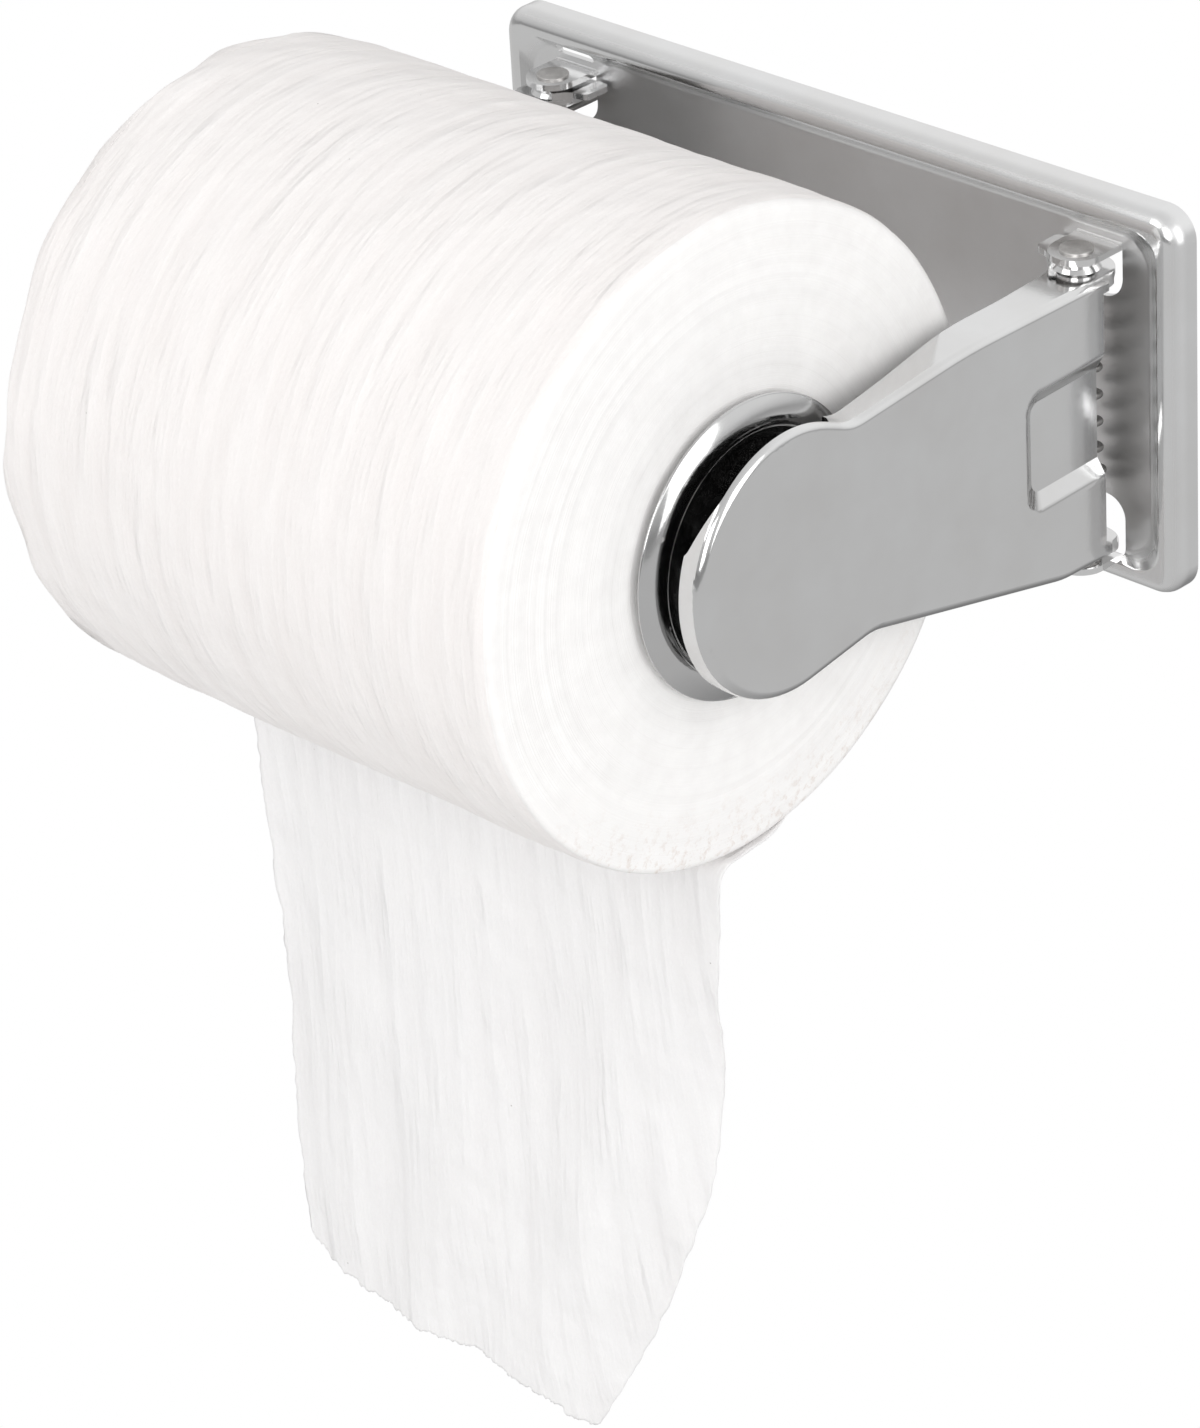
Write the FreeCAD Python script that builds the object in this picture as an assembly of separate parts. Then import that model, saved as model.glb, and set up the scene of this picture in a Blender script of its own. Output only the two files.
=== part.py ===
import FreeCAD, Part

import math
import os

V = FreeCAD.Vector
os.makedirs("parts", exist_ok=True)

# Frame: mm, origin at the middle of the plate's back on the wall, object towards -Y, +X right, +Z up.

# the roll that it holds
CORE_R = 20.75
CORE_WALL = 0.8
CORE_HALF = 57.15
ROLL_R = 56.0
ROLL_HALF_CORE = CORE_HALF - 0.15
ROLL_HALF_EDGE = CORE_HALF - 1.75
TAIL_T = 0.4

# wall plate
PIN_X = CORE_HALF + 2.25
PLATE_W = 2 * PIN_X + 33.6
PLATE_H = 69.85
PLATE_R = 5.4
SHEET = 1.1
RIM_Y = 5.8
RIM_ROUND = 3.3
RIDGE_IN = 3.9
FLOOR_Y = 4.2
FLOOR_IN_X = 6.4
FLOOR_IN_Z = 5.8
FLOOR_R = 6.0
SCREW_X = 12.7
SCREW_Z = 7.94
SCREW_R = 2.4
DIMPLE_R = 6.0
DIMPLE_TAPER = 1.5

# tabs and pivots
PIN_Y = -10.2
PIN_R = 2.1
HEAD_R = 2.9
HEAD_H = 0.4
TAB_R = 4.7
TAB_TOP = 27.2
TAB_BOTTOM = -30.4
TAB_BEND = 0.45
TAB_LOW_ROOT = 0.6
LANCE_TOP = 16.9
LANCE_BOTTOM = -19.5
WASHER_T = 0.4
WASHER_GAP = 0.025
RUN = 0.05

# arms, measured from the pin: s along the arm, n outwards
SPLAY = 1.394
FACE_N = 6.95
BEND_R = 1.6
DISC_S = 79.0
DISC_Z = 5.15
DISC_R = 22.55
NECK_HIGH = 23.0
NECK_LOW = 7.4
WAIST_HIGH_S = 64.2
WAIST_LOW_S = 60.6
WEB_REAR_S = 1.8
LOBE_R = 6.3
RETURN_N = 2.7
NOTCH_N = 5.75
NOTCH_S = 66.6
NOTCH_Z = 22.0
NOTCH_END_Z = 13.0
BOSS_R = 3.5
FOOT_R = 4.2
PRESS_DEPTH = 1.75
PRESS_SLOPE = 2.9
PRESS_ROUND = 2.3
PRESS_S = 19.0
PRESS_LOW = -8.3
PRESS_HIGH = 7.9

# hubs, bushes and studs: profiles are measured from the inner face of the hub's flange, outwards
HUB_Y = -89.2
HUB_Z = 5.0
HUB_X = CORE_HALF + 0.85
STUD_R = 4.0
STUD_END = -14.8
CLIP_X = -13.6
CLIP_T = 0.85
GROOVE_R = 3.0

# springs
COIL_R = 3.5
WIRE_R = 0.55
COIL_TOP = 21.5
COIL_LOW = -18.5
COIL_TURNS = 9
ANCHOR_S = 14.0
ANCHOR_N = 1.5


def rounded_wire(points, radii, place, inset=0.0):
    """A closed wire of lines and tangent arcs through a polygon, moved inwards by inset."""
    count = len(points)
    area = sum(
        points[i][0] * points[(i + 1) % count][1] - points[(i + 1) % count][0] * points[i][1]
        for i in range(count)
    )
    turn = 1.0 if area > 0 else -1.0
    lines = []
    for i in range(count):
        ax, ay = points[i]
        bx, by = points[(i + 1) % count]
        length = math.hypot(bx - ax, by - ay)
        dx, dy = (bx - ax) / length, (by - ay) / length
        lines.append((ax - dy * inset * turn, ay + dx * inset * turn, dx, dy))
    corners = []
    for i in range(count):
        px, py, ax, ay = lines[i - 1]
        qx, qy, bx, by = lines[i]
        cross = ax * by - ay * bx
        along = ((qx - px) * by - (qy - py) * bx) / cross
        x, y = px + ax * along, py + ay * along
        convex = cross * turn > 0
        r = radii[i] - inset if convex else radii[i] + inset
        if radii[i] == 0 or r < 0.05:
            corners.append([(x, y)])
            continue
        half = math.acos(max(-1.0, min(1.0, ax * bx + ay * by))) / 2
        reach = r * math.tan(half)
        bisect = math.hypot(bx - ax, by - ay)
        mx, my = (bx - ax) / bisect, (by - ay) / bisect
        deep = r / math.cos(half) - r
        corners.append(
            [
                (x - ax * reach, y - ay * reach),
                (x + mx * deep, y + my * deep),
                (x + bx * reach, y + by * reach),
            ]
        )
    edges = []
    for i in range(count):
        here = [place(*p) for p in corners[i]]
        after = place(*corners[(i + 1) % count][0])
        if len(here) == 3:
            edges.append(Part.Arc(*here).toShape())
        if here[-1].distanceToPoint(after) > 1e-4:
            edges.append(Part.makeLine(here[-1], after))
    return Part.Wire(edges)


def rect_wire(x0, x1, z0, z1, r, place):
    return rounded_wire([(x0, z0), (x1, z0), (x1, z1), (x0, z1)], [r, r, r, r], place)


def on_y(y):
    return lambda x, z: V(x, y, z)


def on_n(n):
    return lambda s, z: V(n, -s, z)


def prism(wire, along):
    return Part.Face(wire).extrude(along)


def edges_on(shape, test):
    return [e for e in shape.Edges if all(test(v.Point) for v in e.Vertexes) and test(e.CenterOfMass)]


def revolve_x(profile, base):
    """A ring or disc turned about the hub axis from (x, r) points, x measured from base.

    A point of four numbers ends an arc that passes through its last two.
    """
    place = lambda x, r: V(base + x, HUB_Y, HUB_Z + r)
    edges = []
    for last, point in zip(profile, profile[1:] + profile[:1]):
        start, end = place(*last[:2]), place(*point[:2])
        if len(point) == 4:
            edges.append(Part.Arc(start, place(*point[2:]), end).toShape())
        else:
            edges.append(Part.makeLine(start, end))
    return Part.Face(Part.Wire(edges)).revolve(V(0, HUB_Y, HUB_Z), V(1, 0, 0), 360)


def plate_rect(in_x, in_z, r, y):
    return rect_wire(
        in_x - PLATE_W / 2, PLATE_W / 2 - in_x, in_z - PLATE_H / 2, PLATE_H / 2 - in_z, r, on_y(y)
    )


def plate_pan():
    block = prism(plate_rect(0, 0, PLATE_R, 0), V(0, -RIM_Y, 0))
    rim = edges_on(block, lambda p: abs(p.y + RIM_Y) < 0.01)
    pan = block.makeFillet(RIM_ROUND, rim)
    top = plate_rect(RIDGE_IN, RIDGE_IN, 4.6, -RIM_Y)
    floor = plate_rect(FLOOR_IN_X, FLOOR_IN_Z, FLOOR_R, -FLOOR_Y)
    pocket = Part.makeLoft([top, floor], True, True)
    pan = pan.cut(pocket.fuse(prism(top, V(0, -2, 0))))
    ridge = edges_on(pan, lambda p: abs(p.y + RIM_Y) < 0.01 and inside_ridge(p))
    pan = pan.makeFillet(0.9, ridge)
    foot = edges_on(pan, lambda p: abs(p.y + FLOOR_Y) < 0.01)
    pan = pan.makeFillet(1.6, foot)
    shift = SHEET * 0.3
    hollow = prism(plate_rect(SHEET, SHEET, PLATE_R - SHEET, 1), V(0, -1 - RIM_Y + SHEET, 0))
    front = edges_on(hollow, lambda p: abs(p.y + RIM_Y - SHEET) < 0.01)
    hollow = hollow.makeFillet(RIM_ROUND - SHEET, front)
    back_top = plate_rect(RIDGE_IN - shift, RIDGE_IN - shift, 4.9, SHEET - RIM_Y)
    back_floor = plate_rect(FLOOR_IN_X - shift, FLOOR_IN_Z - shift, FLOOR_R + 0.3, SHEET - FLOOR_Y)
    keep = Part.makeLoft([back_top, back_floor], True, True)
    return pan.cut(hollow.cut(keep))


def inside_ridge(p):
    return abs(p.x) < PLATE_W / 2 - RIDGE_IN + 0.1 and abs(p.z) < PLATE_H / 2 - RIDGE_IN + 0.1


def tab(outer_z):
    """One lanced tab with its bend, and the opening that it leaves in the floor or the lower slope."""
    sign = 1 if outer_z > 0 else -1
    front = FLOOR_Y if sign > 0 else RIM_Y - TAB_LOW_ROOT
    inner_z = outer_z - sign * SHEET
    root_z = outer_z + sign * TAB_BEND
    bend_y = -front - TAB_BEND
    half = math.sqrt(0.5)
    big = TAB_BEND + SHEET
    x0 = PIN_X - TAB_R
    tip = PIN_Y - TAB_R - 1
    edges = [
        Part.Arc(
            V(x0, -front, root_z),
            V(x0, bend_y + TAB_BEND * half, root_z - sign * TAB_BEND * half),
            V(x0, bend_y, outer_z),
        ).toShape(),
        Part.makeLine(V(x0, bend_y, outer_z), V(x0, tip, outer_z)),
        Part.makeLine(V(x0, tip, outer_z), V(x0, tip, inner_z)),
        Part.makeLine(V(x0, tip, inner_z), V(x0, bend_y, inner_z)),
        Part.Arc(
            V(x0, bend_y, inner_z),
            V(x0, bend_y + big * half, root_z - sign * big * half),
            V(x0, bend_y + big, root_z),
        ).toShape(),
        Part.makeLine(V(x0, bend_y + big, root_z), V(x0, -front, root_z)),
    ]
    strip = prism(Part.Wire(edges), V(2 * TAB_R, 0, 0))
    plan = Part.makeBox(2 * TAB_R, -PIN_Y, 80, V(x0, PIN_Y, -40))
    plan = plan.fuse(Part.makeCylinder(TAB_R, 80, V(PIN_X, PIN_Y, -40)))
    strip = strip.common(plan)
    strip = strip.cut(Part.makeCylinder(PIN_R + 0.02, 80, V(PIN_X, PIN_Y, -40)))
    far = LANCE_TOP if sign > 0 else LANCE_BOTTOM
    low, high = min(far, root_z), max(far, root_z)
    ends = [4.0, 4.0, 0, 0] if sign > 0 else [0, 0, 4.0, 4.0]
    corners = [(x0, low), (x0 + 2 * TAB_R, low), (x0 + 2 * TAB_R, high), (x0, high)]
    opening = prism(rounded_wire(corners, ends, on_y(-front - 0.8)), V(0, front, 0))
    return strip, opening


def screw_dimple(x, z):
    slope = DIMPLE_TAPER / (FLOOR_Y - SHEET)
    wall = SHEET * math.hypot(1, slope)
    back = DIMPLE_R - slope * SHEET + wall
    base = V(x, -(FLOOR_Y - SHEET), z)
    outside = Part.makeCone(back, back - DIMPLE_TAPER, FLOOR_Y - SHEET, base, V(0, 1, 0))
    start = V(x, -FLOOR_Y - 0.5, z)
    grow = slope * 0.5
    inside = Part.makeCone(DIMPLE_R + grow, DIMPLE_R - DIMPLE_TAPER, FLOOR_Y - SHEET + 0.5, start, V(0, 1, 0))
    hole = Part.makeCylinder(SCREW_R, 8, V(x, -7, z), V(0, 1, 0))
    return outside, inside.fuse(hole)


def wall_plate():
    plate = plate_pan()
    for outer_z in (TAB_TOP, TAB_BOTTOM):
        strip, opening = tab(outer_z)
        plate = plate.cut(opening).cut(mirrored(opening))
        plate = plate.fuse(strip).fuse(mirrored(strip))
    for x in (-SCREW_X, SCREW_X):
        for z in (-SCREW_Z, SCREW_Z):
            outside, inside = screw_dimple(x, z)
            plate = plate.fuse(outside).cut(inside)
    slot = rect_wire(-PIN_X - 4.3, -PIN_X + 4.3, TAB_TOP + 1.3, TAB_TOP + 3.0, 0.4, on_y(-RIM_Y - 1))
    plate = plate.cut(prism(slot, V(0, RIM_Y + 1.5, 0)))
    return plate.removeSplitter()


def mirrored(shape):
    return shape.mirror(V(0, 0, 0), V(1, 0, 0))


END_S = DISC_S + DISC_R
END_HIGH = DISC_Z + DISC_R * math.tan(math.radians(45 + NECK_HIGH / 2))
END_LOW = DISC_Z - DISC_R * math.tan(math.radians(45 + NECK_LOW / 2))
ARM_OUTLINE = [
    (-7.0, 24.0),
    (36.0, 25.2),
    (WAIST_HIGH_S, END_HIGH - (END_S - WAIST_HIGH_S) * math.tan(math.radians(NECK_HIGH))),
    (END_S, END_HIGH),
    (END_S, END_LOW),
    (WAIST_LOW_S, END_LOW + (END_S - WAIST_LOW_S) * math.tan(math.radians(NECK_LOW))),
    (12.5, -26.6),
    (-7.0, -27.3),
]
ARM_RADII = [0, 120.0, 10.0, DISC_R, DISC_R, 12.0, 20.0, 0]


def arm_outline(n, rear, inset):
    points = [(rear, ARM_OUTLINE[0][1])] + ARM_OUTLINE[1:-1] + [(rear, ARM_OUTLINE[-1][1])]
    return rounded_wire(points, ARM_RADII, on_n(n), inset)


def arm_plan():
    """The arm seen from above: flange edges, the lobe round the pin and the trimmed rear."""
    curve = Part.BSplineCurve()
    inner = [
        (72.0, RETURN_N),
        (63.0, 2.3),
        (45.0, 0.7),
        (29.0, -1.06),
        (18.0, -1.3),
        (9.0, -1.9),
        (3.7, -2.96),
        (1.7, -4.5),
        (0.0, -5.2),
    ]
    curve.interpolate([V(n, -s, -40) for s, n in inner])
    place = lambda s, n: V(n, -s, -40)
    side = LOBE_R * math.sqrt(0.5)
    edges = [
        Part.makeLine(place(112, RETURN_N), place(72.0, RETURN_N)),
        curve.toShape(),
        Part.Arc(place(0, -5.2), place(-4.2, -4.0), place(-LOBE_R, 0)).toShape(),
        Part.Arc(place(-LOBE_R, 0), place(-side, side), place(-0.6, 6.2714)).toShape(),
        Part.makeLine(place(-0.6, 6.2714), place(WEB_REAR_S, 8)),
        Part.makeLine(place(WEB_REAR_S, 8), place(112, 8)),
        Part.makeLine(place(112, 8), place(112, RETURN_N)),
    ]
    return prism(Part.Wire(edges), V(0, 0, 80))


def flange_notch():
    """What the upper flange loses round the top of the hub end, seen from the front and from above."""
    front = [(-3, 60), (-3, NOTCH_END_Z), (RETURN_N, NOTCH_END_Z), (NOTCH_N, NOTCH_Z), (NOTCH_N, 60)]
    plan = [(NOTCH_S, -3), (NOTCH_S, 3.4), (NOTCH_S + 2.6, 6.3), (112, 6.3), (112, -3)]
    wedge = rounded_wire(front, [0, 0, 3.0, 6.0, 0], lambda n, z: V(n, -112, z))
    above = rounded_wire(plan, [0, 2.0, 2.4, 0, 0], lambda s, n: V(n, -s, 5))
    return prism(wedge, V(0, 60, 0)).common(prism(above, V(0, 0, 60)))


def press_wire(n, base, extra):
    grow = (n - base) * PRESS_SLOPE / PRESS_DEPTH + extra
    return rect_wire(-6.0, PRESS_S + grow, PRESS_LOW - grow, PRESS_HIGH + grow, 2.0 + grow / 2, on_n(n))


def on_press_edge(p):
    """Where the arm's face turns into the pressed panel."""
    level = abs(p.x - FACE_N) < 0.02 and -PRESS_S - 8 < p.y < 0
    return level and PRESS_LOW - 6 < p.z < PRESS_HIGH + 6


def wing_plan(z, height):
    corners = [
        (-2.0, 0.0),
        (-5.6, -2.6),
        (-5.6, -8.4),
        (0.0, -8.4),
        (1.0, -5.0),
        (3.4, -3.1),
        (2.0, 0.0),
    ]
    radii = [0, 1.5, 1.0, 1.0, 4.0, 0, 0]
    return prism(rounded_wire(corners, radii, lambda s, n: V(n, -s, z)), V(0, 0, height))


def pivot_tops():
    """Where the raised pads end, above and below."""
    gap = WASHER_T + 2 * WASHER_GAP
    return TAB_TOP - SHEET - gap, TAB_BOTTOM + SHEET + gap


def arm_local():
    """The right arm with its pin at the origin."""
    block = prism(arm_outline(-9, -7.0, 0), V(9 + FACE_N, 0, 0))
    front = edges_on(block, lambda p: abs(p.x - FACE_N) < 0.01)
    front = [e for e in front if abs(e.CenterOfMass.y - 7.0) > 0.01]
    block = block.makeFillet(BEND_R, front)
    web_n = FACE_N - SHEET
    inner = prism(arm_outline(-10, -9.0, SHEET), V(10 + web_n, 0, 0))
    edge = edges_on(inner, lambda p: abs(p.x - web_n) < 0.01)
    edge = [e for e in edge if abs(e.CenterOfMass.y - 9.0) > 0.01]
    inner = inner.makeFillet(BEND_R - SHEET, edge)
    arm = block.cut(inner).common(arm_plan()).cut(flange_notch())
    base = FACE_N - PRESS_DEPTH
    low = base - SHEET
    slant = math.hypot(PRESS_DEPTH, PRESS_SLOPE)
    shift = SHEET * (slant - PRESS_SLOPE) / PRESS_DEPTH
    bump = Part.makeLoft([press_wire(low, low, shift), press_wire(FACE_N - 0.5, low, shift)], True, True)
    dent = Part.makeLoft([press_wire(base, base, 0), press_wire(FACE_N + 0.5, base, 0)], True, True)
    arm = arm.fuse(bump.common(Part.makeBox(8, 40, 60, V(2, -40, -30)))).cut(dent)
    arm = arm.makeFillet(PRESS_ROUND, edges_on(arm, on_press_edge))
    arm = arm.cut(Part.makeBox(6, 10, 46.2, V(3.2, -WEB_REAR_S, -24.4)))
    top, bottom = pivot_tops()
    arm = arm.fuse(Part.makeCylinder(BOSS_R, top - 23.6, V(0, 0, 23.6)))
    arm = arm.fuse(Part.makeCone(FOOT_R, BOSS_R, 1.0, V(0, 0, 24.0)))
    arm = arm.fuse(Part.makeCylinder(BOSS_R, -26.4 - bottom, V(0, 0, bottom)))
    arm = arm.fuse(Part.makeCone(BOSS_R, FOOT_R, 1.0, V(0, 0, -28.0)))
    arm = arm.fuse(wing_plan(top - SHEET, SHEET))
    root = wing_plan(23.6, top - 23.6).common(Part.makeCylinder(5.6, 60, V(0, 0, -30)))
    arm = arm.fuse(root)
    arm = arm.cut(Part.makeCylinder(PIN_R + RUN, 80, V(0, 0, -40)))
    arm = arm.cut(Part.makeCylinder(WIRE_R + 0.25, 8, V(ANCHOR_N, -ANCHOR_S, -30)))
    return arm.removeSplitter()


def to_pin(shape):
    placed = shape.copy()
    placed.rotate(V(0, 0, 0), V(0, 0, 1), SPLAY)
    placed.translate(V(PIN_X, PIN_Y, 0))
    return placed


def pivot_pin():
    pin = Part.makeCylinder(PIN_R, TAB_TOP - TAB_BOTTOM, V(PIN_X, PIN_Y, TAB_BOTTOM))
    for z in (TAB_TOP, TAB_BOTTOM - HEAD_H):
        head = Part.makeCylinder(HEAD_R, HEAD_H, V(PIN_X, PIN_Y, z))
        end = TAB_TOP + HEAD_H if z > 0 else z
        head = head.makeFillet(0.2, edges_on(head, lambda p: abs(p.z - end) < 0.01))
        pin = pin.fuse(head)
    return pin.removeSplitter()


def washer(z):
    ring = Part.makeCylinder(BOSS_R - 0.15, WASHER_T, V(PIN_X, PIN_Y, z))
    return ring.cut(Part.makeCylinder(PIN_R + RUN, 2, V(PIN_X, PIN_Y, z - 0.5)))


def spring_points():
    """Centre line of the spring, from the hook behind the plate to the hook through the lower flange."""
    back = -1.1 - PIN_Y
    points = [(-COIL_R - 5.0, back, COIL_TOP), (-COIL_R - 2.5, back, COIL_TOP)]
    for k in range(5):
        a = math.radians(90 - 90 * k / 4)
        points.append((-COIL_R - 1.2 + 1.2 * math.cos(a), back - 1.2 + 1.2 * math.sin(a), COIL_TOP))
    points += [(-COIL_R, back - 3.6, COIL_TOP), (-COIL_R, back - 6.0, COIL_TOP)]
    steps = 16
    total = COIL_TURNS * steps
    for k in range(total + 1):
        a = math.pi + 2 * math.pi * k / steps
        part = k / total
        z = COIL_TOP + (COIL_LOW - COIL_TOP) * (3 * part**2 - 2 * part**3) * 0.25
        z += (COIL_LOW - COIL_TOP) * part * 0.75
        points.append((COIL_R * math.cos(a), COIL_R * math.sin(a), z))
    points += [(-COIL_R + 0.15, -1.7, COIL_LOW), (-COIL_R + 0.75, -4.0, COIL_LOW)]
    points += [(-1.0, -8.2, COIL_LOW), (ANCHOR_N - 0.9, -ANCHOR_S + 2.2, COIL_LOW)]
    points += [(ANCHOR_N - 0.15, -ANCHOR_S + 0.45, COIL_LOW - 0.35), (ANCHOR_N, -ANCHOR_S, COIL_LOW - 1.4)]
    points += [(ANCHOR_N, -ANCHOR_S, COIL_LOW - 4.5), (ANCHOR_N, -ANCHOR_S, -26.9)]
    return points


def print_spring_gap():
    """The least distance between neighbouring turns, less the wire's thickness."""
    turns = [p for p in spring_points() if abs(math.hypot(p[0], p[1]) - COIL_R) < 0.01]
    least = min(abs(a[2] - b[2]) for a, b in zip(turns, turns[16:])) - 2 * WIRE_R
    print("spring gap", round(least, 2))


def arm_spring():
    points = [V(*p) for p in spring_points()]
    turned = math.radians(SPLAY)
    placed = []
    for i, p in enumerate(points):
        blend = i / (len(points) - 1)
        c, s = math.cos(turned * blend), math.sin(turned * blend)
        placed.append(V(p.x * c - p.y * s + PIN_X, p.x * s + p.y * c + PIN_Y, p.z))
    curve = Part.BSplineCurve()
    curve.interpolate(placed)
    start = placed[0]
    ring = Part.Wire(Part.makeCircle(WIRE_R, start, curve.tangent(0)[0]))
    return Part.Wire(curve.toShape()).makePipeShell([ring], True, False)


def hub_stud():
    bar = [
        (STUD_END, 0),
        (STUD_END, STUD_R - 0.5),
        (STUD_END + 0.5, STUD_R),
        (CLIP_X - 0.05, STUD_R),
        (CLIP_X - 0.05, GROOVE_R),
        (CLIP_X + CLIP_T + 0.05, GROOVE_R),
        (CLIP_X + CLIP_T + 0.05, STUD_R),
        (2.65, STUD_R),
        (2.65, 6.3),
        (3, 6.6),
        (11, 6.6),
        (11, 0),
    ]
    beyond = to_pin(Part.makeBox(20, 140, 120, V(FACE_N - SHEET, -120, -60)))
    return revolve_x(bar, HUB_X).cut(beyond)


def hub():
    """The chrome flanged plug, a shell with a rolled lip and an open end."""
    profile = [
        (-12.4, 7.9),
        (-12.4, 16.8),
        (-12, 17.6),
        (-11.2, 18.1),
        (-1.7, CORE_R - 0.12),
        (-1.2, CORE_R - 0.07),
        (0, CORE_R - 0.07),
        (0, 24.6),
        (0.2, 25.05),
        (0.55, 25.3),
        (0.95, 25.05, 0.82, 25.24),
        (2.5, 21.2, 2.02, 23.2),
        (2.2, 20.05, 2.52, 20.55),
        (1.1, 20.0),
        (-0.6, 19.6),
        (-11.2, 17.0),
        (-11.4, 16.6),
        (-11.4, 7.9),
    ]
    return revolve_x(profile, HUB_X)


def hub_bush():
    """The black stepped cup that lines the hub and runs on the stud."""
    profile = [
        (-12.65, STUD_R + RUN),
        (2.6, STUD_R + RUN),
        (2.6, 6.4),
        (2.2, 6.8),
        (-5.4, 7.2),
        (-5.4, 11.4),
        (-4.2, 11.9),
        (-4.2, 15.2),
        (-1.6, 15.7),
        (-1.6, 17.8),
        (0.9, 18.4),
        (1.3, 18.9),
        (1.3, 19.7),
        (1.06, 19.92),
        (-0.58, 19.55),
        (-11.1, 16.95),
        (-11.35, 16.5),
        (-11.35, 7.85),
        (-12.65, 7.85),
    ]
    return revolve_x(profile, HUB_X)


def hub_retainer():
    """A retaining clip in the stud's groove, open on one side."""
    ring = revolve_x(
        [
            (CLIP_X, GROOVE_R + 0.02),
            (CLIP_X, 7.0),
            (CLIP_X + CLIP_T, 7.0),
            (CLIP_X + CLIP_T, GROOVE_R + 0.02),
        ],
        HUB_X,
    )
    mouth = Part.makeBox(4, 2 * GROOVE_R - 0.6, 9, V(HUB_X + CLIP_X - 1, HUB_Y - GROOVE_R + 0.3, HUB_Z - 9))
    ring = ring.cut(mouth)
    for side in (-1, 1):
        bite = Part.makeCylinder(1.1, 4, V(HUB_X + CLIP_X - 1, HUB_Y + side * 4.3, HUB_Z + 1.2), V(1, 0, 0))
        ring = ring.cut(bite)
    return ring


def core_tube():
    outer = CORE_R + CORE_WALL
    return revolve_x(
        [(-CORE_HALF, CORE_R), (CORE_HALF, CORE_R), (CORE_HALF, outer), (-CORE_HALF, outer)], 0
    )


def paper_roll():
    inner = CORE_R + CORE_WALL + 0.02
    rows = 6
    right = []
    for k in range(rows + 1):
        part = k / rows
        x = ROLL_HALF_CORE + (ROLL_HALF_EDGE - ROLL_HALF_CORE) * part**2
        right.append(V(x, HUB_Y, HUB_Z + inner + (ROLL_R - 0.6 - inner) * part))
    left = [V(-p.x, p.y, p.z) for p in right]
    end_right = Part.BSplineCurve()
    end_right.interpolate(right)
    end_left = Part.BSplineCurve()
    end_left.interpolate(left)
    edge = ROLL_HALF_EDGE - 0.6
    top = HUB_Z + ROLL_R
    edges = [
        Part.makeLine(left[0], right[0]),
        end_right.toShape(),
        Part.makeLine(right[-1], V(edge, HUB_Y, top)),
        Part.makeLine(V(edge, HUB_Y, top), V(-edge, HUB_Y, top)),
        Part.makeLine(V(-edge, HUB_Y, top), left[-1]),
        end_left.toShape(),
    ]
    face = Part.Face(Part.Wire(Part.sortEdges(edges)[0]))
    return face.revolve(V(0, HUB_Y, HUB_Z), V(1, 0, 0), 360)


# the sheet, from the roll's underside: places along -Y from the hub axis, drops below the roll, lean
TAIL_CLING = [13.2, 11.2, 9.2, 7.2, 5.2, 3.2, 1.2, -0.6, -2.2]
TAIL_TURN = [(-4.4, 0.9, 121), (-5.8, 2.6, 154), (-6.3, 5.2, 174)]
TAIL_HANG = [11, 23, 37, 53, 69, 85, 101, 117, 138]
TAIL_FRONT = 5.5
TAIL_COLUMNS = 14
# how far the free edge has curled inwards, by drop
TAIL_CURL = [(0, 0), (11, 0.8), (29, 4.9), (49, 7.9), (74, 13.7), (99, 24.0), (116, 32.6), (139, 46.0)]
# the torn lower edge: places across from the left edge and drops
TAIL_TORN = [(-5, 114), (1, 119.5), (12, 124), (30, 125.6), (49, 126.2), (62, 129), (71, 133.6), (95, 134)]
TAIL_TORN_END = 160


def between(marks, at):
    """A value read off a list of (place, value) marks, held at either end."""
    at = max(marks[0][0], min(marks[-1][0], at))
    for (a, va), (b, vb) in zip(marks, marks[1:]):
        if at <= b:
            return va + (vb - va) * (at - a) / (b - a)
    return marks[-1][1]


def tail_row(y, drop, tilt):
    """One thin cross-section of the sheet: tilt is 90 degrees where it lies flat and 180 where it hangs."""
    z = HUB_Z - ROLL_R - drop
    width = 2 * ROLL_HALF_EDGE - between(TAIL_CURL, drop)
    hang = max(0.0, min(1.0, (drop - 1.0) / 60.0))
    front = []
    back = []
    lean = math.radians(tilt)
    step_y, step_z = TAIL_T / 2 * math.cos(lean), TAIL_T / 2 * math.sin(lean)
    for column in range(TAIL_COLUMNS):
        part = column / (TAIL_COLUMNS - 1)
        x = width * part - ROLL_HALF_EDGE
        wave = 1.1 * math.sin(2 * math.pi * (part * 1.6 + 0.15)) + 0.6 * math.sin(6.2 * math.pi * part)
        curl = 7.5 * max(0.0, (part - 0.72) / 0.28) ** 2
        middle = y + hang * (wave + curl)
        front.append(V(x, middle - step_y, z - step_z))
        back.append(V(x, middle + step_y, z + step_z))
    curves = []
    for points in (front, back[::-1]):
        curve = Part.BSplineCurve()
        curve.interpolate(points)
        curves.append(curve.toShape())
    sides = [Part.makeLine(front[-1], back[-1]), Part.makeLine(back[0], front[0])]
    return Part.Wire([curves[0], sides[0], curves[1], sides[1]])


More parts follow.
